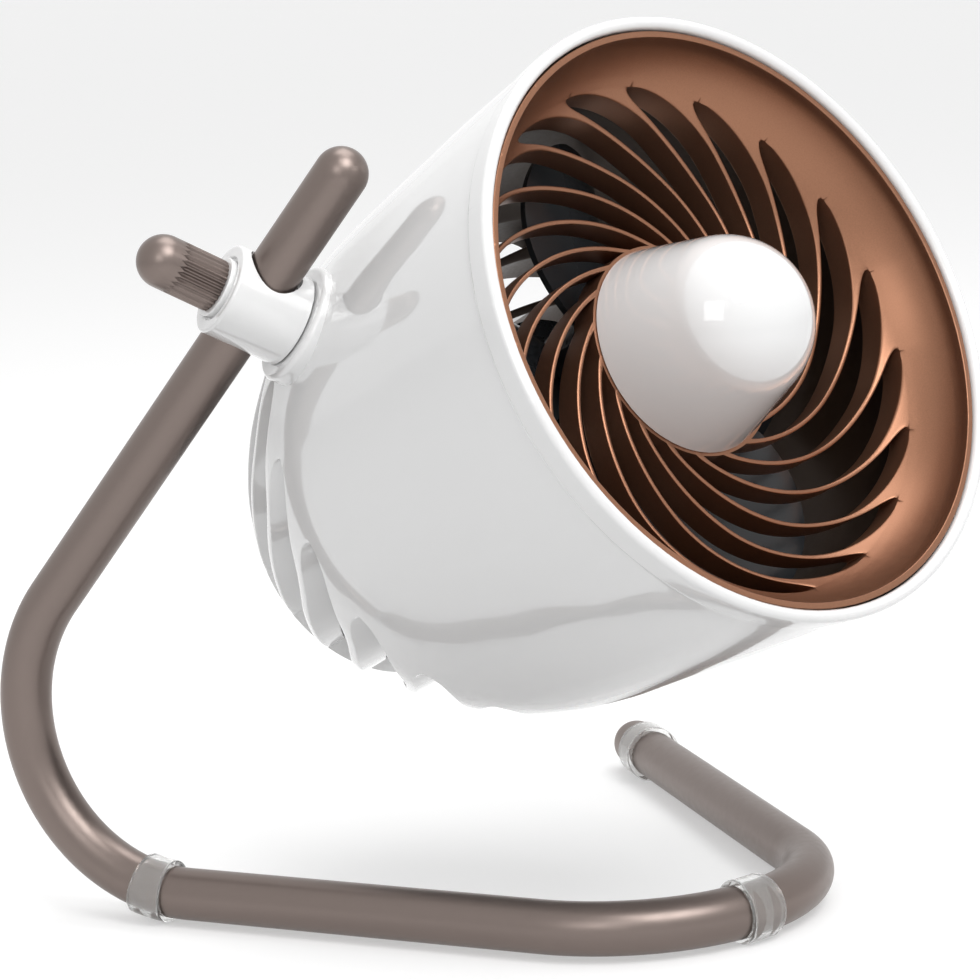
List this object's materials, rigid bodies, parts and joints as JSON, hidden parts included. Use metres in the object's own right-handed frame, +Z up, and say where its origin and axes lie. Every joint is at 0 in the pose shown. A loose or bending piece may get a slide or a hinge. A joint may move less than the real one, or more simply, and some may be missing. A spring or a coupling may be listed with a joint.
{
  "type": "air circulator fan",
  "caption": "Small desk air circulator: a white conical head with a copper spiral grille on a bent-rod stand, held by a knob clamp that slides, pans and tilts.",
  "frame": {"origin": "middle of the flat under the front foot band, on the line of symmetry of the stand's V", "axes": "+Z up; -Y points to the front, the way the V points and the air blows; +X is to the right seen from the front"},
  "size_m": [0.2016, 0.1967, 0.2135],
  "materials": {
    "metal_tube": "satin metallic taupe",
    "white_shell": "glossy white",
    "copper_grille": "satin metallic copper",
    "clear_band": "clear soft plastic",
    "dark_plastic": "matt black",
    "steel": "plain steel",
    "black_rubber": "matt rubber",
    "winding_copper": "enamelled wire"
  },
  "bodies": {
    "stand": {"stand_rod": "metal_tube", "front_foot_band": "clear_band", "left_foot_band": "clear_band", "right_foot_band": "clear_band"},
    "liner": {"stem_liner": "white_shell"},
    "clamp": {"clamp_barrel": "white_shell", "pivot_washer": "dark_plastic", "pivot_spring_washer": "steel", "pivot_retainer": "steel", "pivot_screw": "steel"},
    "collar": {"knob_collar": "white_shell"},
    "knob": {"knob_grip": "metal_tube", "knob_stud": "steel"},
    "head": {"head_shell": "white_shell", "front_grille": "copper_grille", "nose_dome": "white_shell", "nose_screw": "steel", "motor_front_housing": "steel", "motor_rear_housing": "steel", "stator_core": "steel", "stator_windings": "winding_copper", "front_bearing": "steel", "rear_bearing": "steel", "motor_bracket": "steel", "motor_grommets": "black_rubber", "motor_screws": "steel", "rear_cap": "white_shell", "rear_cap_screws": "steel", "switch_body": "dark_plastic", "cord_gland": "black_rubber"},
    "fan": {"impeller": "dark_plastic", "impeller_nut": "steel", "motor_shaft": "steel", "rotor_core": "steel"},
    "button": {"speed_button": "white_shell"}
  },
  "joints": [
    {"name": "height_slide", "type": "slide", "parent": "stand", "child": "liner", "axis": [0.2619, -0.5981, 0.7575], "range_m": [-0.02, 0.028]},
    {"name": "stem_pan", "type": "hinge", "parent": "liner", "child": "clamp", "pos_m": [-0.06777, 0.08758, 0.15213], "axis": [0.2619, -0.5981, 0.7575], "range_deg": [-60, 180]},
    {"name": "head_tilt", "type": "hinge", "parent": "clamp", "child": "head", "pos_m": [-0.06777, 0.08758, 0.15213], "axis": [-0.8345, 0.2538, 0.489], "range_deg": [-60, 180]},
    {"name": "collar_travel", "type": "slide", "parent": "clamp", "child": "collar", "axis": [-0.8345, 0.2538, 0.489], "range_m": [-0.0002, 0.0013]},
    {"name": "knob_turn", "type": "hinge", "parent": "collar", "child": "knob", "pos_m": [-0.06777, 0.08758, 0.15213], "axis": [-0.8345, 0.2538, 0.489], "range_deg": [0, 360]},
    {"name": "fan_spin", "type": "hinge", "parent": "head", "child": "fan", "pos_m": [-0.00105, 0.06729, 0.11304], "axis": [0.0609, -0.9012, 0.4292], "continuous": true},
    {"name": "button_press", "type": "slide", "parent": "head", "child": "button", "axis": [0.0609, -0.9012, 0.4292], "range_m": [0, 0.002], "stiffness_N_per_m": 300}
  ],
  "couplings": [
    {"joint": "collar_travel", "follows": "knob_turn", "m_per_rad": 0.00015915}
  ]
}
